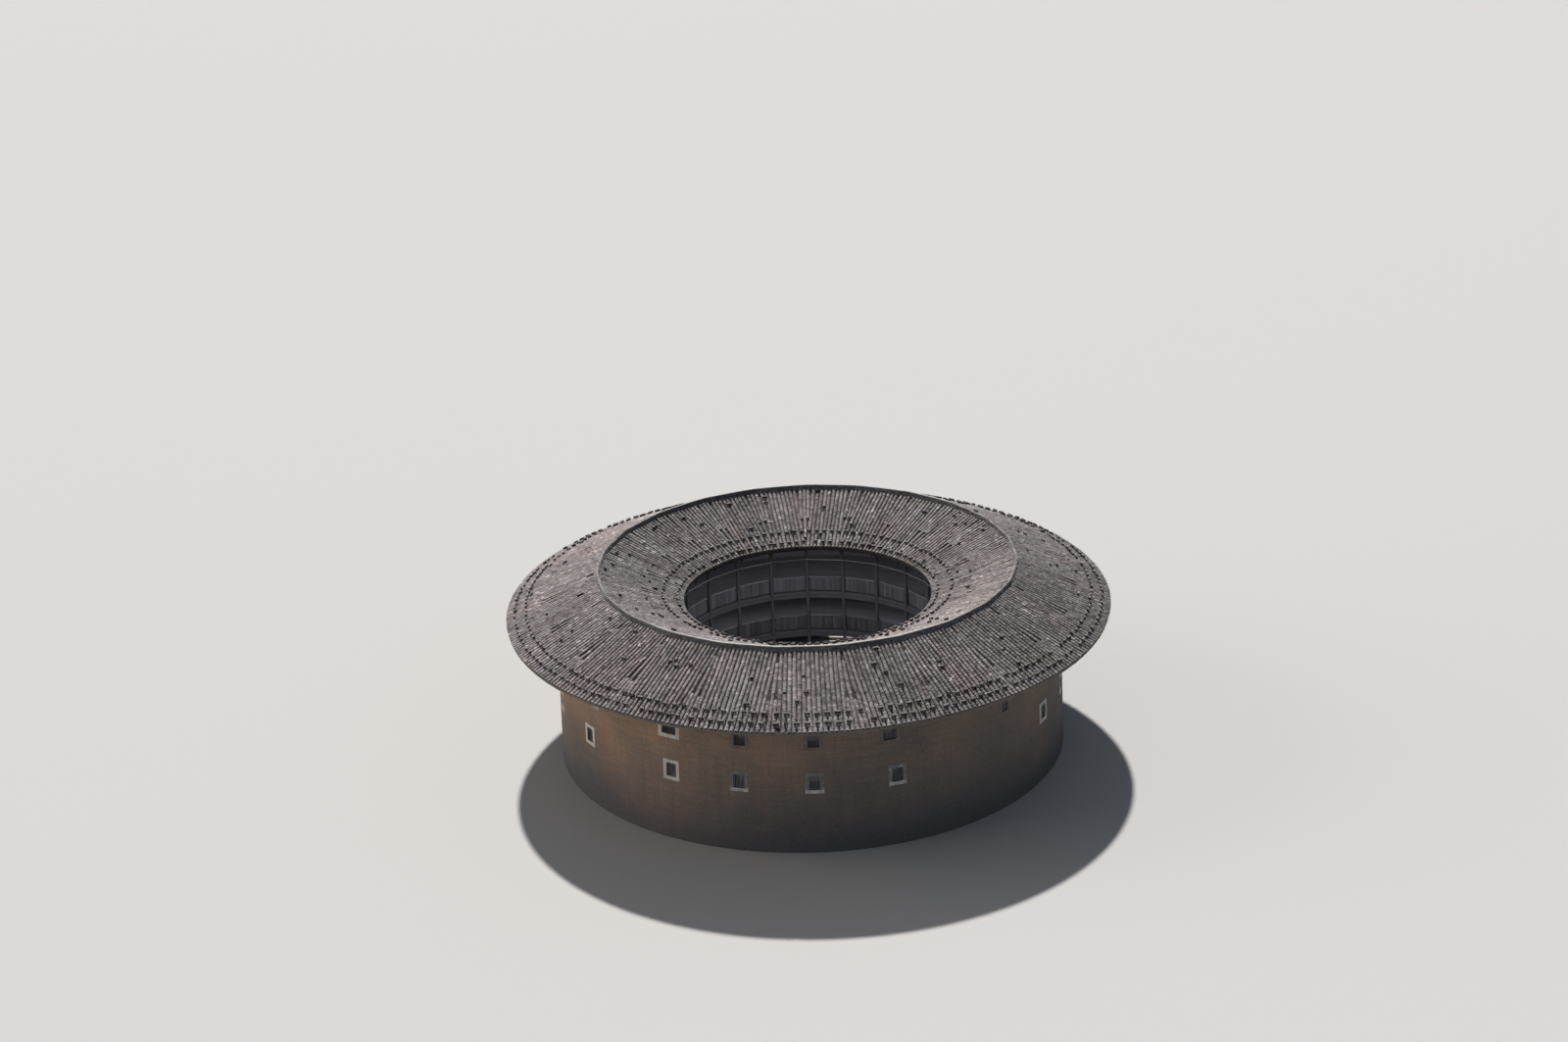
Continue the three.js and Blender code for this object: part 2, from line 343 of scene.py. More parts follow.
# Inside face: soot grey, with a bluish cast that is a painted cool tint for the court's shade.
colour = coat(tree, colour, ring["Reach"], inner_face_edge + 0.05, inner_face_edge, 0.85, (0.170, 0.172, 0.195))
relief = weighted(tree, (broad["Grit"], 0.5), (layers, 0.5), (seam, -0.3), (crack, -0.5))
finish_material(tree, colour, 0.95, bump(tree, relief, 0.6, 0.05), 0.15)
set_finish("wall_", earth)

# Lime bands plastered round the windows, a finger thick and a span wide. Some are fresh. On
# the shaded side rain has worn them grey or nearly away, and the sill keeps its lime longest.
second_windows = (0.68, 0.87, 4.05)
third_windows = (0.68, 0.88, 6.80)
wide_windows = (0.80, 0.88, 6.80)
widest_window = (1.00, 0.88, 6.80)
vent_window = (0.48, 0.62, 6.30)
seen_windows = (
    (39.43, second_windows, 0.10), (65.73, second_windows, 0.15), (81.63, second_windows, 0.70),
    (97.83, second_windows, 0.65), (115.73, second_windows, 0.55), (41.3, wide_windows, 0.15),
    (65.43, widest_window, 0.05), (82.03, third_windows, 0.88), (97.83, third_windows, 0.85),
    (114.23, wide_windows, 0.88), (144.43, vent_window, None))
hidden_window_bays = (0, 2, 3, 5, 6, 15, 16, 18, 19, 21)
gate_bearing = 270
windows = list(seen_windows)
for bay in hidden_window_bays:
    bearing = gate_bearing + (bay + 1) * 360 / bay_count
    windows.append((bearing, second_windows, 0.25 + 0.05 * (bay % 5)))
    windows.append((bearing, third_windows, 0.30 + 0.07 * (bay % 4)))
band_width = 0.22
widest_band = 0.24
lime_thickness = 0.045
lime_stands_out = 0.014
lime_waviness = 0.006


def edit_all():
    """Opens the active piece in edit mode with all of it selected."""
    bpy.ops.object.mode_set(mode="EDIT")
    bpy.ops.mesh.select_all(action="SELECT")


def leave_edit():
    """Closes edit mode."""
    bpy.ops.object.mode_set(mode="OBJECT")


def resize(across, along, upward):
    """Scales what is selected about the origin."""
    bpy.ops.transform.resize(value=(across, along, upward), center_override=(0, 0, 0))


def start_piece(name, add_primitive, **size):
    """Adds a primitive alone in the selection and opens it in edit mode with all selected."""
    bpy.ops.object.select_all(action="DESELECT")
    add_primitive(**size)
    piece = bpy.context.object
    piece.name = name
    bpy.ops.object.transform_apply(location=True, rotation=True, scale=True)
    edit_all()
    return piece


def end_piece():
    """Closes edit mode with every face turned outward."""
    bpy.ops.mesh.select_all(action="SELECT")
    bpy.ops.mesh.normals_make_consistent(inside=False)
    leave_edit()


def thicken(piece, thickness, side):
    """Gives a sheet its thickness, to the front for a side of 1 and to the back for -1."""
    solid = piece.modifiers.new("thickness", "SOLIDIFY")
    solid.thickness = thickness
    solid.offset = side
    bpy.ops.object.modifier_apply(modifier=solid.name)


def new_piece(name, mesh):
    """Puts a mesh in the scene as a piece of its own."""
    piece = bpy.data.objects.new(name, mesh)
    bpy.context.scene.collection.objects.link(piece)
    return piece


def set_tone(piece, tone):
    """Marks a piece with one tone, or with one for each of its corners."""
    marks = piece.data.attributes.new("tone", "FLOAT", "POINT")
    tones = np.broadcast_to(np.asarray(tone, dtype=np.float32), len(piece.data.vertices))
    marks.data.foreach_set("value", tones.copy())


def dress(piece, material):
    """Gives a new piece its material and fixes it to the house."""
    piece.data.materials.clear()
    piece.data.materials.append(material)
    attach(piece, "root")
    return piece


def upright_ring(name, width, height, margin):
    """A flat square ring, standing with its front outward, in edit mode with all selected."""
    piece = start_piece(name, bpy.ops.mesh.primitive_plane_add, size=1, rotation=(-math.pi / 2, 0, 0))
    resize(width, 1, height)
    bpy.ops.mesh.inset(thickness=margin, depth=0)
    bpy.ops.mesh.delete(type="FACE")
    bpy.ops.mesh.select_all(action="SELECT")
    return piece


lime, tree = empty_material("limewash")
marks = weathering(tree, 2.6, 0.22)
worn = weighted(tree, (marks["Grit"], 0.55), (marks["Patches"], 0.45), (copy_tone(tree), 0.50))
colour = ramp(tree, marks["Streaks"], [
    (0.35, (0.36, 0.33, 0.30)), (0.52, (0.52, 0.49, 0.46)), (0.70, (0.60, 0.57, 0.54))])
colour = coat(tree, colour, worn, 0.62, 0.76, 0.95, (0.170, 0.168, 0.178))
colour = coat(tree, colour, worn, 0.82, 0.95, 0.95, (0.150, 0.120, 0.102))
finish_material(tree, colour, 0.9, bump(tree, marks["Grit"], 0.4, 0.01))

for number, (bearing, (width, height, sill), wear) in enumerate(windows):
    if wear is None:
        continue
    margin = widest_band if width == widest_window[0] else band_width
    band = upright_ring(f"lime_band_{number + 1:02d}", width + 2 * margin,
                        height + 2 * margin, margin)
    bpy.ops.mesh.subdivide(number_cuts=7)
    bpy.ops.transform.vertex_random(offset=lime_waviness, seed=number)
    leave_edit()
    thicken(band, lime_thickness, -1)
    middle = sill + height / 2
    tones = []
    for vertex in band.data.vertices:
        rise = middle + vertex.co.z
        tones.append(0.4 * wear if rise < sill + 0.02 and wear < 0.8 else wear)
        radius = wall_face(rise) + vertex.co.y + lime_stands_out
        turn = math.radians(bearing) - vertex.co.x / wall_foot_radius
        vertex.co = (radius * math.cos(turn), radius * math.sin(turn), rise)
    set_tone(band, tones)
    dress(band, lime)

# Window frames of sawn softwood with square upright bars, set a hand deep in the opening
# and gone dark. Each frame is wedged into the earth on all four sides.
frame_timber = 0.055
frame_depth = 0.07
frame_setback = 0.16
frame_clearance = 0.006
frame_edge = 0.005
frame_tones = 0.3
bar_size = 0.032
bar_edge = 0.003
bar_spacing = 0.085


def ring_matrix(bearing, radius, height, along=0.0):
    """Turns a piece's Y outward and its X along the ring, and sets it on its spot."""
    return (Matrix.Rotation(bearing - math.pi / 2, 4, "Z")
            @ Matrix.Translation((along, radius, height)))


def timber_piece(name, size, softened):
    """A straight sawn timber about the origin with softened edges."""
    piece = start_piece(name, bpy.ops.mesh.primitive_cube_add, size=1)
    resize(*size)
    bpy.ops.mesh.bevel(offset=softened, segments=1, affect="EDGES")
    end_piece()
    return piece


def drop(*patterns):
    """Removes patterns once their copies are laid."""
    for pattern in patterns:
        bpy.data.objects.remove(pattern, do_unlink=True)


def window_pattern(width, height):
    """A timber frame with upright bars, about the middle of its opening."""
    clear = width - 2 * frame_timber
    bars = timber_piece("bars", (bar_size, bar_size, height - frame_timber), bar_edge)
    count = max(round(clear / bar_spacing) - 1, 2)
    spread_out = bars.modifiers.new("repeat", "ARRAY")
    spread_out.count = count
    spread_out.use_relative_offset = False
    spread_out.use_constant_offset = True
    spread_out.constant_offset_displace = (clear / (count + 1), 0, 0)
    bpy.ops.object.modifier_apply(modifier=spread_out.name)
    edit_all()
    bpy.ops.transform.translate(value=(-clear * (count - 1) / (count + 1) / 2, 0, 0))
    leave_edit()
    pattern = upright_ring("window_pattern", width - frame_clearance,
                           height - frame_clearance, frame_timber)
    leave_edit()
    thicken(pattern, frame_depth, 0)
    edit_all()
    bpy.ops.mesh.bevel(offset=frame_edge, segments=1, affect="EDGES")
    end_piece()
    bars.select_set(True)
    bpy.ops.object.join()
    return pattern


grain, settings, ends = new_group(
    "timber_grain", {"Across": 30.0, "Along": 1.6, "Upright": 1.0}, ("Grain", "Worn"))
ring = ring_place(grain)
turned_way = math_node(grain, "SUBTRACT", 1.0, settings["Upright"])


def fibre_scale(upright, level):
    """Fibre scale in one direction, for timbers that stand and timbers that lie."""
    return weighted(grain, (settings[upright], settings["Upright"]), (settings[level], turned_way))


fibres = node(grain, "ShaderNodeCombineXYZ", {
    "X": math_node(grain, "MULTIPLY", ring["Arc"], fibre_scale("Across", "Along")),
    "Y": math_node(grain, "MULTIPLY", ring["Height"], fibre_scale("Along", "Across")),
    "Z": math_node(grain, "MULTIPLY", ring["Reach"], settings["Across"])}).outputs[0]
grain.links.new(noise(grain, fibres, 1.0, 5.0, 0.6), ends["Grain"])
grain.links.new(noise(grain, house_place(grain), 1.3), ends["Worn"])


def timber_fibres(tree, upright):
    """Fibres and wear of a timber that stands, for 1, or lies, for 0."""
    return node(tree, "ShaderNodeGroup", {"Upright": upright}, node_tree=grain).outputs


def timber(name, dark, light, grey, upright):
    """Weathered bare timber: fibres, worn grey patches and a tone for each copy."""
    material, tree = empty_material(name)
    fibre = timber_fibres(tree, upright)
    colour = mix(tree, remap(tree, fibre["Grain"], 0.3, 0.7), (*dark, 1), (*light, 1))
    colour = coat(tree, colour, fibre["Worn"], 0.42, 0.70, 0.7, grey)
    colour = shaded(tree, colour, copy_tone(tree), 0.40, 1.60)
    finish_material(tree, colour, 0.82, bump(tree, fibre["Grain"], 0.35, 0.01))
    return material


window_timber = timber(
    "window_timber", (0.115, 0.112, 0.115), (0.19, 0.188, 0.195), (0.21, 0.210, 0.222), 1.0)
patterns = {}
for number, (bearing, opening, _) in enumerate(windows):
    width, height, sill = opening
    if opening not in patterns:
        patterns[opening] = window_pattern(width, height)
    mesh = patterns[opening].data.copy()
    middle = sill + height / 2
    mesh.transform(ring_matrix(math.radians(bearing), wall_face(middle) - frame_setback, middle))
    lattice = new_piece(f"window_frame_{number + 1:02d}", mesh)
    set_tone(lattice, frame_tones * math.sin(7.0 * number))
    dress(lattice, window_timber)
drop(*patterns.values())

# Gate frame of dressed granite: jambs in courses, a long lintel and a worn sill, bedded in
# thin lime mortar in the thickness of the earth wall.
jamb_course = 0.54
mortar_bed = 0.022
lintel_foot = 2.75
granite, tree = empty_material("gate_granite")
marks = weathering(tree, 1.2, 0.3)
ring = ring_place(tree)
speckle = noise(tree, house_place(tree), 55.0, 3.0, 0.8)
colour = ramp(tree, speckle, [
    (0.38, (0.14, 0.135, 0.13)), (0.50, (0.30, 0.29, 0.275)), (0.66, (0.44, 0.43, 0.41))])
colour = coat(tree, colour, marks["Patches"], 0.45, 0.75, 0.5, (0.20, 0.18, 0.15))
course = math_node(tree, "FRACT", math_node(tree, "DIVIDE", ring["Height"], jamb_course))
below_lintel = remap(tree, ring["Height"], lintel_foot, lintel_foot + 0.02, 1.0, 0.0)
bed = math_node(tree, "MULTIPLY", remap(tree, course, 0.0, mortar_bed, 1.0, 0.0), below_lintel)
colour = mix(tree, bed, colour, (0.10, 0.095, 0.09, 1))
relief = weighted(tree, (speckle, 0.4), (bed, -1.0))
finish_material(tree, colour, 0.75, bump(tree, relief, 0.5, 0.02), 0.4)
set_finish("gate_", granite)

# Floors of the upper storeys: sawn boards laid round the ring over the joists, their ends
# staggered. Scrubbing has greyed them, and the edge along the court is painted nearly black
# as painted shade under the railings.
board_width = 0.21
board_stagger = 0.37
court_edge = 9.1
edge_shade_start = 9.5
floor_boards, tree = empty_material("floor_boards")
ring = ring_place(tree)
row = math_node(tree, "DIVIDE", ring["Reach"], board_width)
row_number = math_node(tree, "FLOOR", row)
board_end = weighted(tree, (ring["Bays"], 1.0), (row_number, board_stagger))
board_number = node(tree, "ShaderNodeCombineXYZ", {
    "X": row_number, "Y": math_node(tree, "FLOOR", board_end)}).outputs[0]
board_tone = node(tree, "ShaderNodeTexWhiteNoise", {"Vector": board_number}).outputs["Value"]
fibre = timber_fibres(tree, 0.0)
colour = mix(tree, fibre["Grain"], (0.190, 0.180, 0.180, 1), (0.370, 0.355, 0.360, 1))
colour = coat(tree, colour, board_tone, 0.0, 1.0, 0.45, (0.42, 0.42, 0.44))
# Painted shade: the boards turn nearly black toward the edge along the court.
colour = coat(tree, colour, ring["Reach"], edge_shade_start, court_edge, 0.96, (0.022, 0.021, 0.021))
side_gap = remap(tree, math_node(tree, "FRACT", row), 0.0, 0.045, 1.0, 0.0)
end_gap = remap(tree, math_node(tree, "FRACT", board_end), 0.0, 0.003, 1.0, 0.0)
gap = math_node(tree, "MAXIMUM", side_gap, end_gap)
colour = mix(tree, gap, colour, (0.012, 0.010, 0.009, 1))
relief = weighted(tree, (fibre["Grain"], 0.3), (gap, -1.0))
finish_material(tree, colour, 0.7, bump(tree, relief, 0.4, 0.01), 0.35)
set_finish("floor_", floor_boards)

# Gallery frame of squared and round China fir, pegged together: posts from the court to the
# roof, a beam under each floor edge and a plate under the rafters. Bare and smoke dark.
post_half_turn = 0.0135
gallery_timber, tree = empty_material("gallery_timber")
ring = ring_place(tree)
bay_place = math_node(tree, "FRACT", math_node(tree, "ADD", ring["Bays"], 0.5))
from_post = math_node(tree, "ABSOLUTE", math_node(tree, "SUBTRACT", bay_place, 0.5))
is_post = math_node(tree, "LESS_THAN", from_post, post_half_turn / bay_turn)
standing = timber_fibres(tree, 1.0)
fibre = mix(tree, is_post, timber_fibres(tree, 0.0)["Grain"], standing["Grain"])
colour = mix(tree, fibre, (0.018, 0.017, 0.017, 1), (0.041, 0.039, 0.040, 1))
colour = coat(tree, colour, standing["Worn"], 0.42, 0.70, 0.6, (0.043, 0.042, 0.045))
finish_material(tree, colour, 0.8, bump(tree, fibre, 0.35, 0.01))
set_finish("gallery_", gallery_timber)

# Bracket arms pegged into the posts carry a round purlin under the inner eave. Below it a
# bamboo drying pole is tied along the court side of the posts in every bay.
first_post = math.pi / 2
post_circle = 8.70
arm_root = 0.10
arm_size = (0.10, 0.66, 0.15)
purlin_circle = 8.05
purlin_height = 9.36
purlin_radius = 0.055
purlin_lap = 0.04
pole_circle = 8.56
pole_height = 8.45
pole_radius = 0.030
pole_lap = 0.10


def copy_pattern(name, pattern, places, tones):
    """Lays copies of one modelled pattern as one joined mesh, each copy with its own tone."""
    source = pattern.data
    count = len(source.vertices)
    corners = np.empty(count * 3)
    source.vertices.foreach_get("co", corners)
    corners = np.c_[corners.reshape(-1, 3), np.ones(count)]
    places = np.array([[tuple(row) for row in place] for place in places])
    copies = len(places)
    moved = np.einsum("nij,kj->nki", places, corners)[..., :3].reshape(-1)
    loop_corners = np.empty(len(source.loops), dtype=np.int32)
    source.loops.foreach_get("vertex_index", loop_corners)
    starts = np.empty(len(source.polygons), dtype=np.int32)
    source.polygons.foreach_get("loop_start", starts)
    step = np.arange(copies, dtype=np.int32)[:, None]
    mesh = bpy.data.meshes.new(name)
    mesh.vertices.add(copies * count)
    mesh.vertices.foreach_set("co", moved)
    mesh.loops.add(copies * len(loop_corners))
    mesh.loops.foreach_set("vertex_index", (loop_corners + step * count).reshape(-1))
    mesh.polygons.add(copies * len(starts))
    mesh.polygons.foreach_set("loop_start", (starts + step * len(loop_corners)).reshape(-1))
    mesh.update(calc_edges=True)
    smooth = source.polygons[0].use_smooth
    mesh.polygons.foreach_set("use_smooth", np.full(copies * len(starts), smooth))
    piece = new_piece(name, mesh)
    set_tone(piece, np.repeat(tones, count))
    return piece


def lay(name, pattern, places, tone, spread, material):
    """Lays and dresses copies of a pattern, with tones scattered about one."""
    tones = np.clip(scatter.normal(tone, spread, len(places)), -0.5, 0.5)
    return dress(copy_pattern(name, pattern, places, tones), material)


def post_bearing(index):
    """Bearing of a gallery post, or of a place between two posts."""
    return first_post + index * bay_turn


def round_pole(name, radius, circle, lap, sides):
    """A round pole as long as one bay on a circle and its lap, along X about the origin."""
    length = 2 * circle * math.sin(bay_turn / 2) + lap
    pole = start_piece(name, bpy.ops.mesh.primitive_cylinder_add, vertices=sides, radius=radius,
                       depth=length, rotation=(0, math.pi / 2, 0))
    bpy.ops.mesh.select_all(action="DESELECT")
    leave_edit()
    for face in pole.data.polygons:
        face.select = abs(face.normal.x) > 0.9
    bpy.ops.object.mode_set(mode="EDIT")
    bpy.ops.mesh.inset(thickness=radius * 0.25, depth=radius * 0.15)
    end_piece()
    return pole


bare_timber = timber(
    "bare_timber", (0.022, 0.019, 0.017), (0.060, 0.052, 0.046), (0.065, 0.062, 0.060), 0.0)
bamboo = timber("dry_bamboo", (0.09, 0.085, 0.078), (0.16, 0.15, 0.14), (0.13, 0.13, 0.13), 0.0)
scatter = np.random.default_rng(23)
arm = timber_piece("arm", arm_size, softened=0.012)
purlin = round_pole("purlin", purlin_radius, purlin_circle, purlin_lap, sides=8)
pole = round_pole("pole", pole_radius, pole_circle, pole_lap, sides=6)
flat_of_bay = math.cos(bay_turn / 2)
bay_middles = [post_bearing(bay + 0.5) for bay in range(bay_count)]
arm_middle = post_circle - arm_root - arm_size[1] / 2
arm_height = purlin_height - purlin_radius - arm_size[2] / 2
lay("bracket_arms", arm, [
    ring_matrix(post_bearing(post), arm_middle, arm_height)
    for post in range(bay_count)], 0.25, 0.12, bare_timber)
lay("eave_purlins", purlin, [
    ring_matrix(bearing, purlin_circle * flat_of_bay, purlin_height)
    for bearing in bay_middles], 0, 0.15, bare_timber)
lay("drying_poles", pole, [
    ring_matrix(bearing, pole_circle * flat_of_bay, pole_height)
    @ Matrix.Rotation(scatter.normal(0, 0.008), 4, "Y")
    for bearing in bay_middles], 0, 0.2, bamboo)
drop(arm, purlin, pole)

# Railings of upright boards nailed to a foot rail and to a flat cap, bay by bay behind the
# posts. The boards have shrunk apart a little, and rain has silvered the caps.
rail_circle = 8.85
rail_height = 1.05
rail_board = (0.136, 0.025, 0.93)
rail_board_foot = 0.06
boards_a_bay = 16
board_pitch = 0.1425
cap_size = (2.38, 0.09, 0.07)
foot_rail_size = (2.30, 0.06, 0.08)
foot_rail_height = 0.12
foot_rail_behind = 0.044
railing_boards = timber(
    "railing_boards", (0.030, 0.029, 0.029), (0.053, 0.050, 0.051), (0.051, 0.050, 0.053), 1.0)
cap_timber = timber(
    "railing_caps", (0.06, 0.056, 0.054), (0.12, 0.115, 0.112), (0.11, 0.108, 0.109), 0.0)
# The second storey's railings carry a darker tone than the third: painted shade, as less sky light
# reaches the lower storey.
storey_painted_shade = {"second": -0.25, "third": 0.02}
rail_distance = rail_circle * flat_of_bay
board = timber_piece("board", rail_board, softened=0.004)
cap = timber_piece("cap", cap_size, softened=0.008)
foot_rail = timber_piece("foot_rail", foot_rail_size, softened=0.006)
for storey, shade in storey_painted_shade.items():
    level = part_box(f"floor_{storey}_1")[1][2]
    replaced = [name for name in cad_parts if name.startswith(f"railing_{storey}")]
    spots = [(bearing, (number - (boards_a_bay - 1) / 2) * board_pitch)
             for bearing in bay_middles for number in range(boards_a_bay)]
    boards = lay(f"railing_{storey}_boards", board, [
        ring_matrix(bearing, rail_distance, level + rail_board_foot + rail_board[2] / 2, along)
        @ Matrix.Rotation(scatter.normal(0, 0.004), 4, "Y")
        @ Matrix.Translation((0, scatter.normal(0, 0.003), scatter.normal(0, 0.004)))
        for bearing, along in spots], shade, 0.13, railing_boards)
    lay(f"railing_{storey}_caps", cap, [
        ring_matrix(bearing, rail_distance, level + rail_height - cap_size[2] / 2)
        for bearing in bay_middles], shade, 0.12, cap_timber)
    lay(f"railing_{storey}_foot_rails", foot_rail, [
        ring_matrix(bearing, rail_distance + foot_rail_behind, level + foot_rail_height)
        for bearing in bay_middles], shade, 0.12, railing_boards)
    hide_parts(*replaced)
drop(board, cap, foot_rail)

# Roof base: boards on square rafters that run out past the wall on one side and past the
# purlin on the other, with a fascia board nailed to their ends at both eaves. The outer one
# has weathered to about the colour of the wall.
ridge_radius = 13.0
ridge_seam = 11.65
outer_eave_radius = 18.77
outer_eave_height = 9.18
inner_eave_radius = 7.87
inner_eave_height = 9.63
roof_thickness = 0.16
facets_a_bay = 4
outer_fall = math.atan2(ridge_seam - outer_eave_height, outer_eave_radius - ridge_radius)
inner_fall = math.atan2(ridge_seam - inner_eave_height, ridge_radius - inner_eave_radius)
fascia_gap = 0.001
outer_fascia_reach = 0.028
inner_fascia_reach = 0.025
fascia_front_drop = 0.02
fascia_back_drop = 0.01
rafter_width = 0.05
rafter_depth = 0.085
rafter_edge = 0.004
rafter_clearance = 0.02
inner_rafter_start = 0.03
outer_rafters_a_bay = 14
inner_rafters_a_bay = 7


def slope_height(radius):
    """Height of the roof boards' top at a distance from the centre."""
    if radius > ridge_radius:
        return ridge_seam - (radius - ridge_radius) * math.tan(outer_fall)
    return ridge_seam - (ridge_radius - radius) * math.tan(inner_fall)


def slope_matrix(bearing, radius, lift, yaw=0.0, tip=0.0):
    """Sets a piece on the roof with its Y downhill, at a height above the boards."""
    outer = radius > ridge_radius
    turn = yaw if outer else yaw + math.pi
    fall = outer_fall if outer else inner_fall
    return (ring_matrix(bearing, radius, slope_height(radius)) @ Matrix.Rotation(turn, 4, "Z")
            @ Matrix.Rotation(tip - fall, 4, "X") @ Matrix.Translation((0, 0, lift)))


def turned_ring(name, section):
    """A faceted ring with a closed section, extruded point by point from a circle."""
    facets = bay_count * facets_a_bay
    radius, height = section[0]
    piece = start_piece(name, bpy.ops.mesh.primitive_circle_add, vertices=facets, radius=radius,
                        location=(0, 0, height), rotation=(0, 0, math.pi / facets))
    for next_radius, next_height in (*section[1:], section[0]):
        bpy.ops.mesh.extrude_edges_move(
            TRANSFORM_OT_translate={"value": (0, 0, next_height - height)})
        grow = next_radius / radius
        resize(grow, grow, 1)
        radius, height = next_radius, next_height
    bpy.ops.mesh.select_all(action="SELECT")
    bpy.ops.mesh.remove_doubles(threshold=0.0005)
    end_piece()
    return piece


def ring_board(name, near, far, foot, near_head, far_head):
    """A board or a core bent round the ring, between two distances from the centre."""
    return turned_ring(name, ((near, foot), (far, foot), (far, far_head), (near, near_head)))


roof_boards = timber(
    "roof_boards", (0.020, 0.017, 0.015), (0.050, 0.042, 0.036), (0.060, 0.055, 0.052), 0.0)
set_finish("roof_", roof_boards)
outer_fascia = ring_board(
    "outer_fascia", outer_eave_radius + fascia_gap, outer_eave_radius + outer_fascia_reach,
    outer_eave_height - roof_thickness - fascia_front_drop,
    outer_eave_height - fascia_back_drop, outer_eave_height - fascia_front_drop)
inner_fascia = ring_board(
    "inner_fascia", inner_eave_radius - inner_fascia_reach, inner_eave_radius - fascia_gap,
    inner_eave_height - roof_thickness - fascia_back_drop,
    inner_eave_height - fascia_front_drop, inner_eave_height - fascia_back_drop)
fascia_timber = timber(
    "fascia_timber", (0.095, 0.078, 0.065), (0.170, 0.142, 0.120), (0.165, 0.148, 0.135), 0.0)
dress(outer_fascia, fascia_timber)
dress(inner_fascia, bare_timber)

outer_rafter_run = (outer_eave_radius - wall_head_radius - rafter_clearance) / math.cos(outer_fall)
inner_rafter_run = 0.72
under_boards = -roof_thickness * math.cos(outer_fall) - rafter_depth / 2
outer_middle = (outer_eave_radius + wall_head_radius - rafter_clearance) / 2
inner_middle = inner_eave_radius + inner_rafter_start + inner_rafter_run / 2 * math.cos(inner_fall)
for side, run, middle, rafters_a_bay in (
        ("outer", outer_rafter_run, outer_middle, outer_rafters_a_bay),
        ("inner", inner_rafter_run, inner_middle, inner_rafters_a_bay)):
    rafter = timber_piece(f"{side}_rafter", (rafter_width, run, rafter_depth), rafter_edge)
    lay(f"{side}_rafters", rafter, [
        slope_matrix((number + 0.5) * bay_turn / rafters_a_bay, middle, under_boards)
        for number in range(rafters_a_bay * bay_count)], 0, 0.2, bare_timber)
    drop(rafter)

# Roof tiles of grey unglazed clay: troughs laid hollow side up, with half round covers over
# the joints. Covers keep parallel in each bay, and short cut columns fill the wedges between.
tile_length = 0.28
cover_gauge = 0.205
trough_gauge = 0.25
tile_tip = 0.048
tile_lip = 0.004
lip_width_share = 0.92
lip_height_share = 0.86
widest_pitch = 0.30
cover_radius = 0.117
cover_crown = 0.068
cover_lift = 0.070
trough_radius = 0.125
trough_dip = 0.055
trough_lift = 0.066
bedding = 0.02
bedding_reach = 0.9
outer_overhang = 0.05
inner_overhang = 0.08
upper_gap = 0.10
loose_spots = 34
disturbed_size = 0.55
slipped_share = 0.006
slipped_turn = 0.20
slipped_rise = 0.02
column_wave = 0.012
full_wave = 6.28
uphill_step = 0.2
# Bearing that the slopes face where painted light makes the clay paler.
lit_side_bearing = -40


def half_tile(name, radius, sides, crown, narrowed):
    """A half round tile shell lying uphill along -Y, with a lip that shows its thickness."""
    tile = start_piece(name, bpy.ops.mesh.primitive_circle_add, vertices=sides, radius=radius,
                       rotation=(math.pi / 2, 0, math.pi))
    bpy.ops.mesh.bisect(plane_co=(0, 0, 0), plane_no=(0, 0, 1), clear_inner=True)
    bpy.ops.mesh.select_all(action="SELECT")
    resize(1, 1, crown / radius)
    bpy.ops.mesh.duplicate()
    bpy.ops.mesh.extrude_edges_move(TRANSFORM_OT_translate={"value": (0, -tile_lip, 0)})
    resize(lip_width_share, 1, lip_height_share)
    leave_edit()
    in_faces = {index for face in tile.data.polygons for index in face.vertices}
    for vertex in tile.data.vertices:
        vertex.select = vertex.index not in in_faces
    for edge in tile.data.edges:
        edge.select = all(tile.data.vertices[index].select for index in edge.vertices)
    bpy.ops.object.mode_set(mode="EDIT")
    bpy.ops.mesh.extrude_edges_move(TRANSFORM_OT_translate={"value": (0, -tile_length, 0)})
    resize(narrowed, 1, narrowed)
    leave_edit()
    return tile


def turn_faces_out(tile):
    """Flips the faces of a tile that look down or uphill, and smooths its round."""
    bpy.ops.object.select_all(action="DESELECT")
    tile.select_set(True)
    bpy.context.view_layer.objects.active = tile
    for face in tile.data.polygons:
        face.select = face.normal.z + 3 * face.normal.y < 0
    bpy.ops.object.mode_set(mode="EDIT")
    bpy.ops.mesh.flip_normals()
    leave_edit()
    bpy.ops.object.shade_smooth()


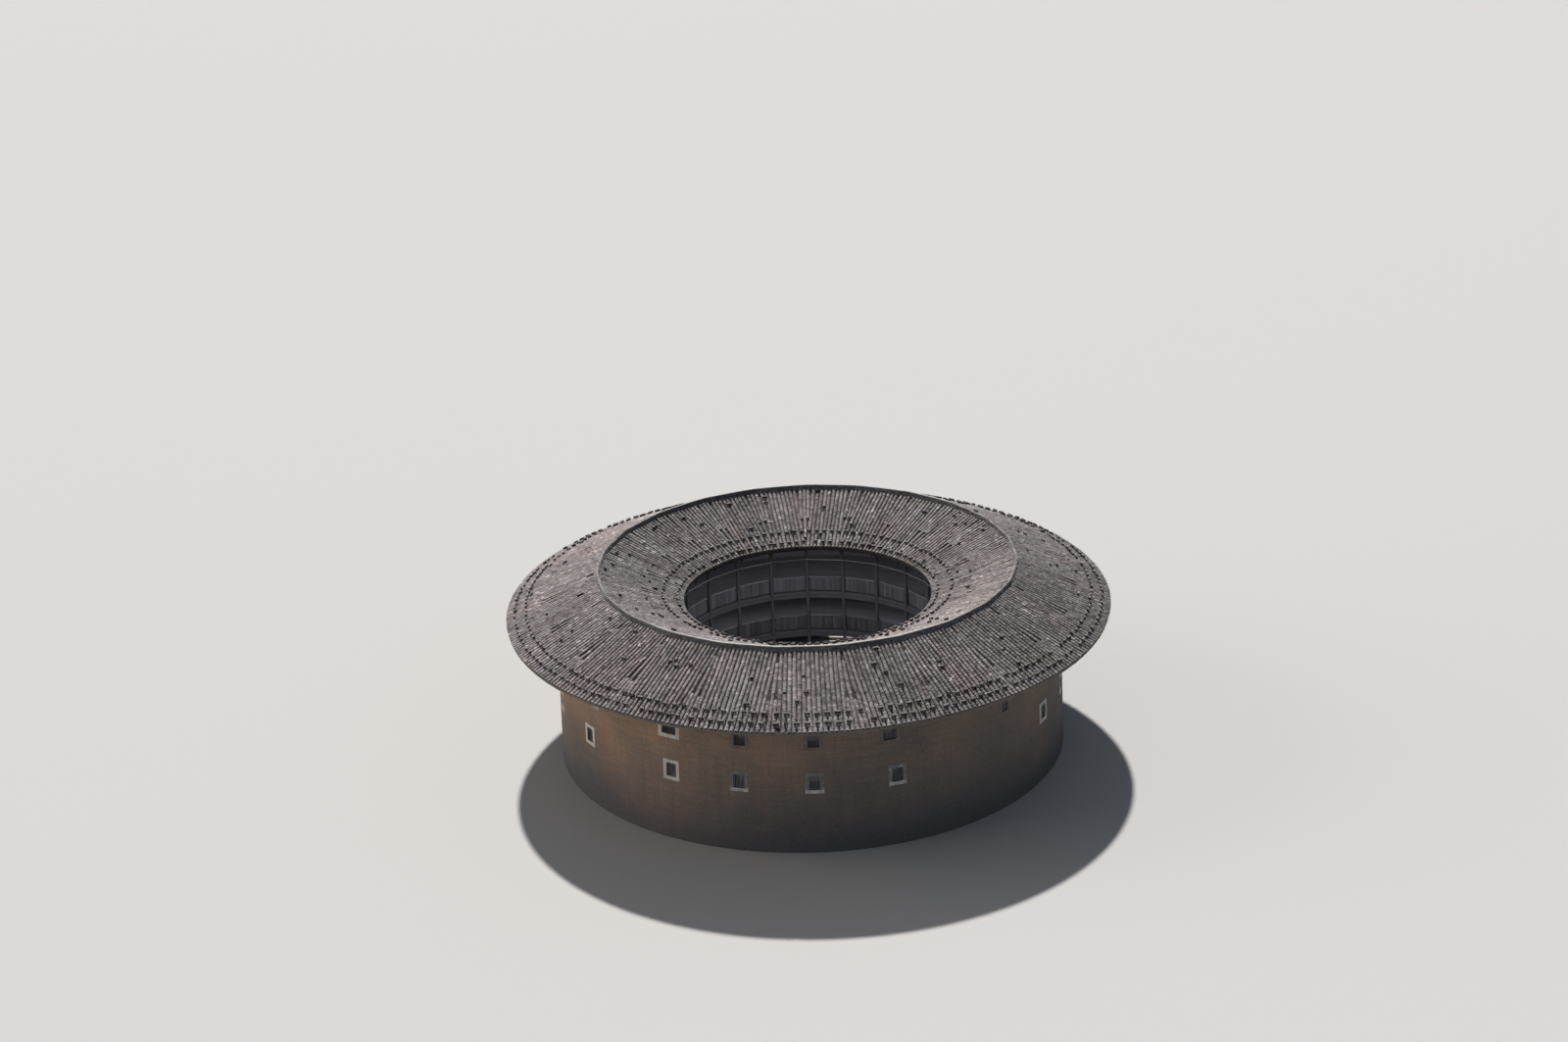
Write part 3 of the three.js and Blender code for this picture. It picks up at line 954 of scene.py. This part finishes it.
class Slope:
    """One side of the roof: where its tile columns run, and how the wedges between bays fill."""

    def __init__(self, eave, ridge, eave_pitch, ridge_pitch, columns):
        self.eave = eave
        self.ridge = ridge
        self.eave_pitch = eave_pitch
        self.ridge_pitch = ridge_pitch
        self.columns = columns
        self.downhill = 1 if eave > ridge else -1

    def pitch(self, radius):
        """Spacing of the columns."""
        share = (radius - self.eave) / (self.ridge - self.eave)
        return self.eave_pitch + (self.ridge_pitch - self.eave_pitch) * share

    def wedge_share(self, rank, radius):
        """How much of its full width a wedge column has there. The middle one fills first."""
        spare = bay_turn * radius / self.pitch(radius) - self.columns
        if rank == 0:
            return min(spare, 1.0)
        return min(max((spare - 2 * rank + 1) / 2, 0.0), 1.0)

    def wedge_line(self, rank, side, over_joint, radius):
        """Turn from the middle of the bay to a wedge column, or nothing where it has run out."""
        share = self.wedge_share(rank, radius)
        reach = sum(self.wedge_share(lower, radius) for lower in range(1, rank))
        if rank:
            reach += self.wedge_share(0, radius) / 2 + share / 2
        if over_joint:
            reach += share / 2
            share = self.wedge_share(rank + 1, radius)
        if share < 0.5:
            return None
        return bay_turn / 2 + side * reach * self.pitch(radius) / radius

    def lines(self, over_joint):
        """The columns of one bay, each as a function from radius to turn."""
        half = 0.5 if over_joint else 0.0
        first = -(self.columns - 1) / 2 - half
        for number in range(self.columns + (1 if over_joint else 0)):
            yield lambda radius, off=first + number: off * self.pitch(radius) / radius
        for rank in range(3):
            for side in ((1,) if rank == 0 and not over_joint else (-1, 1)):
                yield lambda radius, rank=rank, side=side: self.wedge_line(
                    rank, side, over_joint, radius)

    def disturbed(self, count):
        """Spots where tiles have been lifted and put back loosely, as places on the ground."""
        spots = []
        for _ in range(count):
            radius = self.eave + (self.ridge - self.eave) * scatter.uniform(0.1, 0.95)
            bearing = scatter.uniform(0, 2 * math.pi)
            spots.append((radius * math.cos(bearing), radius * math.sin(bearing)))
        return np.array(spots)


def lay_tiles(slope, over_joint, lift, gauge, gap_share, loose):
    """Places and tones for all the tiles of one kind on one slope."""
    places = []
    tones = []
    fall = outer_fall if slope.downhill > 0 else inner_fall
    spots = slope.disturbed(loose_spots)
    step = slope.downhill * uphill_step
    length = abs(slope.ridge - slope.eave) - upper_gap
    for middle in bay_middles:
        for line in slope.lines(over_joint):
            column_tone = scatter.normal(0, 0.07)
            wave = scatter.uniform(0, full_wave)
            missing = 0
            way = 0.0
            while way < length:
                radius = slope.eave - slope.downhill * way
                shown = gauge * math.cos(fall) * (1 + scatter.normal(0, 0.15) * loose)
                way += min(max(shown, 0.6 * gauge), 1.2 * gauge)
                turn = line(radius)
                uphill = line(radius - step)
                if turn is None or uphill is None:
                    continue
                if missing == 0 and scatter.random() < gap_share:
                    missing = scatter.integers(1, 4)
                if missing:
                    missing -= 1
                    continue
                place = (radius * math.cos(middle + turn), radius * math.sin(middle + turn))
                nearest = np.abs(spots - place).max(axis=1).min()
                upset = max(0.0, 1.0 - nearest / disturbed_size) * loose
                slipped = scatter.random() < slipped_share * loose + 0.25 * upset
                yaw = math.atan(radius * (turn - uphill) / step) + scatter.normal(0, 0.02) * loose
                rise = lift + abs(scatter.normal(0, 0.004)) * loose
                rise += bedding * max(0.0, 1.0 - abs(slope.ridge - radius) / bedding_reach)
                if slipped:
                    yaw += scatter.normal(0, slipped_turn)
                    rise += slipped_rise
                sideways = column_wave * math.sin(2.0 * way + wave)
                sideways += scatter.normal(0, 0.006) * loose
                wide = slope.pitch(radius) / widest_pitch
                places.append(
                    slope_matrix(middle + turn, radius, rise, yaw, tile_tip)
                    @ Matrix.Translation((sideways, 0, 0))
                    @ Matrix.Diagonal((wide, 1, 0.5 + 0.5 * wide, 1)))
                tones.append(column_tone + scatter.normal(0, 0.14) + (0.3 if slipped else 0))
    return places, np.clip(tones, -0.5, 0.5)


def clay(name, stops, dust, dust_share, rusty, bleached_and_lit=None):
    """Unglazed clay: fired tone of each tile, patches, painted light that pales the slopes
    facing one side and darkens those facing away, lichen dust and flecks.

    A colour for the tops, where one is given, lies on the faces that look up at the sky:
    partly bleaching, partly painted light on the sunlit tops."""
    material, tree = empty_material(name)
    broad = weathering(tree, 0.30, 1.5)
    close = weathering(tree, 3.4, 0.3)
    # Painted light: slopes that face bearing -40 are painted paler, those facing away darker.
    slope_light_sign = remap(tree, ring_place(tree)["Reach"], ridge_radius - 0.01, ridge_radius + 0.01,
                    -0.07, 0.07)
    level = weighted(tree, (copy_tone(tree), 0.6), (close["Patches"], 0.6),
                     (broad["Patches"], 0.40), (slope_light_sign, toward(tree, lit_side_bearing, 15)))
    colour = ramp(tree, level, stops)
    colour = mix(tree, remap(tree, broad["Streaks"], 0.48, 0.66, 0.0, rusty), colour,
                 (1.0, 0.84, 0.80, 1), "MULTIPLY")
    colour = coat(tree, colour, close["Grit"], 0.50, 0.72, dust_share, dust)
    fleck = math_node(tree, "SUBTRACT", noise(tree, house_place(tree), 24.0, 3.0, 0.7), 0.5)
    colour = shaded(tree, colour, fleck, -0.2, 2.2)
    # Paler tops: bleaching, and painted light on the sunlit tops.
    if bleached_and_lit:
        facing = node(tree, "ShaderNodeNewGeometry").outputs["Normal"]
        up = node(tree, "ShaderNodeSeparateXYZ", {0: facing}).outputs["Z"]
        colour = coat(tree, colour, up, 0.80, 0.92, 0.6, bleached_and_lit)
    finish_material(tree, colour, 0.9, bump(tree, close["Grit"], 0.5, 0.01), 0.2)
    return material


cover_clay = clay("cover_clay", [
    (0.24, (0.070, 0.065, 0.068)), (0.46, (0.165, 0.152, 0.155)),
    (0.66, (0.250, 0.232, 0.233)), (0.92, (0.50, 0.465, 0.46))], (0.36, 0.330, 0.320), 0.5, 0.6)
trough_clay = clay("trough_clay", [
    (0.20, (0.028, 0.025, 0.026)), (0.50, (0.070, 0.063, 0.063)),
    (0.80, (0.150, 0.136, 0.134))], (0.095, 0.084, 0.077), 0.4, 0.5)
outer_slope = Slope(outer_eave_radius + outer_overhang, ridge_radius,
                    eave_pitch=0.3016, ridge_pitch=0.2536, columns=14)
inner_slope = Slope(inner_eave_radius - inner_overhang, ridge_radius,
                    eave_pitch=0.2374, ridge_pitch=0.2731, columns=9)
cover = half_tile("cover", cover_radius, sides=8, crown=cover_crown, narrowed=0.86)
trough = half_tile("trough", trough_radius, sides=8, crown=trough_dip, narrowed=0.92)
edit_all()
resize(1, 1, -1)
leave_edit()
turn_faces_out(cover)
turn_faces_out(trough)
for slope, side in ((outer_slope, "outer"), (inner_slope, "inner")):
    places, tones = lay_tiles(slope, True, trough_lift, trough_gauge, gap_share=0.0, loose=0.5)
    dress(copy_pattern(f"{side}_trough_tiles", trough, places, tones), trough_clay)
    places, tones = lay_tiles(slope, False, cover_lift, cover_gauge, gap_share=0.002, loose=1.0)
    dress(copy_pattern(f"{side}_cover_tiles", cover, places, tones), cover_clay)
drop(trough)

# Ridge of grey tiles stacked flat in staggered courses on a mortar core, narrowing to the top,
# where cover tiles bedded in lime mortar keep the rain out. It runs a little straighter in
# each bay than a true round. On the near and the far stretch the mortar is painted paler, a
# painted highlight of its lit top line.
ridge_foot = 11.60
ridge_course = 0.052
ridge_courses = 7
ridge_tile = (0.230, 0.46, 0.043)
ridge_foot_width = 0.38
ridge_head_width = 0.16
ridge_core_half = 0.022
ridge_core_sunk = 0.05
ridge_core_above = 0.012
ridge_tiles_a_bay = 15
ridge_tile_count = ridge_tiles_a_bay * bay_count
ridge_step = bay_turn / ridge_tiles_a_bay
straightness = 0.55
mean_straight_share = 0.9969
cap_width_share = 0.58
cap_height_share = 0.5
ridge_clay = clay("ridge_clay", [
    (0.15, (0.070, 0.069, 0.077)), (0.50, (0.135, 0.133, 0.147)),
    (0.85, (0.240, 0.236, 0.252))], (0.16, 0.157, 0.167), 0.4, 0.2)
mortar, tree = empty_material("ridge_mortar")
marks = weathering(tree, 1.8, 0.5)
colour = ramp(tree, marks["Patches"], [
    (0.32, (0.095, 0.089, 0.085)), (0.50, (0.155, 0.146, 0.140)), (0.66, (0.25, 0.238, 0.230))])
# Painted highlight: the mortar is painted paler along the near and the far stretch.
painted_highlight_stretch = math_node(tree, "ABSOLUTE", toward(tree, 98, 13))
colour = coat(tree, colour, painted_highlight_stretch, 0.55, 0.95, 0.9, (0.50, 0.482, 0.472))
colour = coat(tree, colour, marks["Grit"], 0.48, 0.70, 0.5, (0.15, 0.142, 0.138))
finish_material(tree, colour, 0.95, bump(tree, marks["Grit"], 0.5, 0.02), 0.2)


def ridge_line(turn):
    """Distance of the ridge's middle from the centre, a little straighter within each bay."""
    within = (turn - first_post) % bay_turn - bay_turn / 2
    return ridge_radius * (1 + straightness * (mean_straight_share / math.cos(within) - 1))


flat_tile = timber_piece("flat_tile", ridge_tile, softened=0.006)
course_tiles = []
for course in range(ridge_courses):
    width = ridge_foot_width + (ridge_head_width - ridge_foot_width) * course / (ridge_courses - 1)
    height = ridge_foot + (course + 0.5) * ridge_course
    for number in range(ridge_tile_count):
        turn = (number + 0.5 * (course % 2)) * ridge_step
        course_tiles.append(
            ring_matrix(turn, ridge_line(turn) + scatter.normal(0, 0.006), height)
            @ Matrix.Rotation(scatter.normal(0, 0.02), 4, "Z")
            @ Matrix.Diagonal((1, width / ridge_tile[1], 1, 1)))
courses = lay("ridge_courses", flat_tile, course_tiles, 0, 0.25, ridge_clay)
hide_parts("ridge_1", "ridge_2")
ridge_top = ridge_foot + ridge_courses * ridge_course
core = ring_board("ridge_core", ridge_radius - ridge_core_half, ridge_radius + ridge_core_half,
                  ridge_foot - ridge_core_sunk, ridge_top + ridge_core_above,
                  ridge_top + ridge_core_above)
dress(core, mortar)
lay("ridge_caps", cover, [
    ring_matrix(number * ridge_step, ridge_line(number * ridge_step), ridge_top)
    @ Matrix.Rotation(math.pi / 2 + scatter.normal(0, 0.03), 4, "Z")
    @ Matrix.Rotation(tile_tip / 2, 4, "X")
    @ Matrix.Diagonal((cap_width_share, 1, cap_height_share, 1))
    for number in range(ridge_tile_count)], 0, 0.2, mortar)
drop(flat_tile, cover)

# Broken bricks laid on the roof against the wind, each across two cover columns: two rows
# above each eave, and single ones scattered over both slopes. Shorter pieces lie where the
# columns stand closer.
brick_lift = 0.195
outer_row_ways = (0.62, 1.38)
inner_row_ways = (0.42, 1.40)
row_share = 0.95
single_bricks = 96
full_brick_pitch = 0.30
brick_sizes = ((0.33, 0.135, 0.12), (0.29, 0.150, 0.14), (0.36, 0.120, 0.11))
brick_edge = 0.014
brick_roughness = 0.012
# The last colour paints the brick tops paler: bleaching and painted light on the sunlit tops.
brick_grey = clay("weight_brick", [
    (0.15, (0.024, 0.022, 0.025)), (0.66, (0.048, 0.045, 0.047)),
    (0.95, (0.300, 0.280, 0.270))], (0.08, 0.075, 0.072), 0.3, 0.3, (0.24, 0.222, 0.216))


def brick_pattern(name, size, seed):
    """A rough block: a cube with its edges knocked off and its corners uneven."""
    brick = start_piece(name, bpy.ops.mesh.primitive_cube_add, size=1)
    resize(*size)
    bpy.ops.mesh.bevel(offset=brick_edge, segments=1, affect="EDGES")
    bpy.ops.transform.vertex_random(offset=brick_roughness, seed=seed)
    end_piece()
    return brick


def brick_place(slope, middle, offset, radius):
    """Stands a brick on two neighbouring covers, a little askew."""
    turn = offset * slope.pitch(radius) / radius
    return (slope_matrix(middle + turn, radius, brick_lift, -turn + scatter.normal(0, 0.10))
            @ Matrix.Translation((scatter.normal(0, 0.012), scatter.normal(0, 0.025), 0))
            @ Matrix.Rotation(scatter.normal(0, 0.15), 4, "X")
            @ Matrix.Scale(scatter.uniform(0.85, 1.1), 4)
            @ Matrix.Diagonal((slope.pitch(radius) / full_brick_pitch, 1, 1, 1)))


brick_spots = []
for slope, ways in ((outer_slope, outer_row_ways), (inner_slope, inner_row_ways)):
    fall = outer_fall if slope is outer_slope else inner_fall
    for way in ways:
        radius = slope.eave - slope.downhill * way * math.cos(fall)
        bricks_a_bay = round(bay_turn * radius / slope.pitch(radius) / 2)
        for middle in bay_middles:
            for number in range(bricks_a_bay):
                if scatter.random() < row_share:
                    offset = (number + 0.5) * 2 - bricks_a_bay
                    brick_spots.append(brick_place(slope, middle, offset, radius))
for number in range(single_bricks):
    slope = outer_slope if scatter.random() < 0.5 else inner_slope
    radius = slope.eave + (slope.ridge - slope.eave) * scatter.uniform(0.25, 0.95)
    offset = scatter.integers(-3, 4) + (0 if slope.columns % 2 == 0 else 0.5)
    middle = bay_middles[scatter.integers(0, bay_count)]
    brick_spots.append(brick_place(slope, middle, offset, radius))
for number, size in enumerate(brick_sizes):
    pattern = brick_pattern("brick", size, number)
    lay(f"roof_bricks_{number + 1}", pattern, brick_spots[number::len(brick_sizes)],
        0, 0.25, brick_grey)
    drop(pattern)
